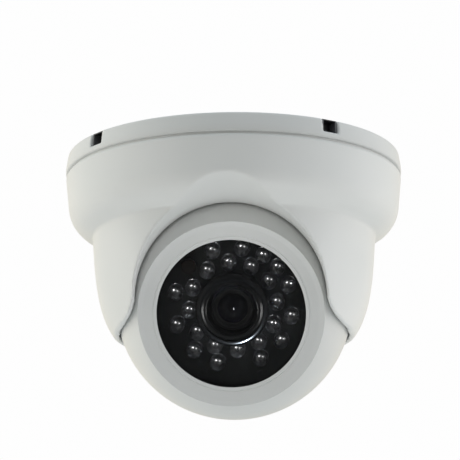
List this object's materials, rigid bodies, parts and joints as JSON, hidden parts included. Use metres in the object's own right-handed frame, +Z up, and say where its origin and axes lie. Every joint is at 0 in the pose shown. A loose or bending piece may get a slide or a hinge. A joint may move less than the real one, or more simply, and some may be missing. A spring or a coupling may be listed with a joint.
{
  "type": "dome cctv camera",
  "caption": "Ceiling dome camera: round base, turning white cover and a tilting eyeball with a ring of infrared LEDs around its lens.",
  "frame": {"origin": "centre of the ceiling face", "axes": "+Z up into the ceiling, lens toward -Y, +X to the right when facing the lens from behind it"},
  "size_m": [0.113, 0.113, 0.0887],
  "materials": {
    "white_powder_coat": "satin white powder coat with a fine orange-peel texture",
    "zinc_steel": "zinc plated",
    "black_rubber": "matt",
    "cast_zinc": "as cast",
    "spring_steel": "oiled spring steel",
    "nylon": "natural nylon",
    "stainless": "satin",
    "grey_paint": "smooth satin grey paint",
    "smoked_glass": "clear flat window",
    "black_plastic": "fine matt texture",
    "black_board": "matt black solder mask",
    "green_board": "green solder mask",
    "chip": "ceramic package with a glass lid",
    "led_clear": "water-clear epoxy",
    "sensor_cell": "clear lacquer over a light cell",
    "lens_black": "anodised black",
    "coated_glass": "coated lens glass"
  },
  "bodies": {
    "base": {"ceiling_plate": "zinc_steel", "mount_base": "white_powder_coat", "cable_grommet": "black_rubber", "rim_seal": "black_rubber", "base_lock_screw": "zinc_steel"},
    "cover": {"pan_rotor": "cast_zinc", "pan_retaining_ring": "spring_steel", "cover_shell": "white_powder_coat", "cover_screw_1": "stainless", "cover_screw_2": "stainless", "cover_screw_3": "stainless", "ball_seat": "nylon", "seat_spring": "spring_steel"},
    "eyeball": {"ball_front_shell": "white_powder_coat", "ball_rear_shell": "white_powder_coat", "ball_gasket": "black_rubber", "bezel_ring": "grey_paint", "window_glass": "smoked_glass", "window_gasket": "black_rubber", "roll_clamp_ring": "black_plastic", "shell_screw_1": "stainless", "shell_screw_2": "stainless", "shell_screw_3": "stainless", "ball_cable_gland": "black_rubber"},
    "camera_module": {"module_frame": "black_plastic", "led_board": "black_board", "light_sensor": "sensor_cell", "lens_hood": "black_plastic", "lens_holder": "black_plastic", "sensor_board": "green_board", "image_sensor": "chip", "power_board": "green_board", "power_connector": "nylon", "ir_led_01": "led_clear", "ir_led_02": "led_clear", "ir_led_03": "led_clear", "ir_led_04": "led_clear", "ir_led_05": "led_clear", "ir_led_06": "led_clear", "ir_led_07": "led_clear", "ir_led_08": "led_clear", "ir_led_09": "led_clear", "ir_led_10": "led_clear", "ir_led_11": "led_clear", "ir_led_12": "led_clear", "ir_led_13": "led_clear", "ir_led_14": "led_clear", "ir_led_15": "led_clear", "ir_led_16": "led_clear", "ir_led_17": "led_clear", "ir_led_18": "led_clear", "ir_led_19": "led_clear", "ir_led_20": "led_clear", "ir_led_21": "led_clear", "ir_led_22": "led_clear", "ir_led_23": "led_clear", "ir_led_24": "led_clear"},
    "lens": {"lens_barrel": "lens_black", "lens_front_glass": "coated_glass", "lens_lock_ring": "lens_black"}
  },
  "joints": [
    {"name": "pan", "type": "hinge", "parent": "base", "child": "cover", "pos_m": [0, 0, 0], "axis": [0, 0, 1], "range_deg": [-174, 174]},
    {"name": "tilt", "type": "hinge", "parent": "cover", "child": "eyeball", "pos_m": [0, 0, -0.0492], "axis": [1, 0, 0], "range_deg": [-11.5, 67.5]},
    {"name": "roll", "type": "hinge", "parent": "eyeball", "child": "camera_module", "pos_m": [0, 0, -0.0492], "axis": [0, -0.9239, -0.3827], "range_deg": [-90, 90]},
    {"name": "focus", "type": "hinge", "parent": "camera_module", "child": "lens", "pos_m": [0, 0, -0.0492], "axis": [0, -0.9239, -0.3827], "range_deg": [-150, 150]}
  ]
}
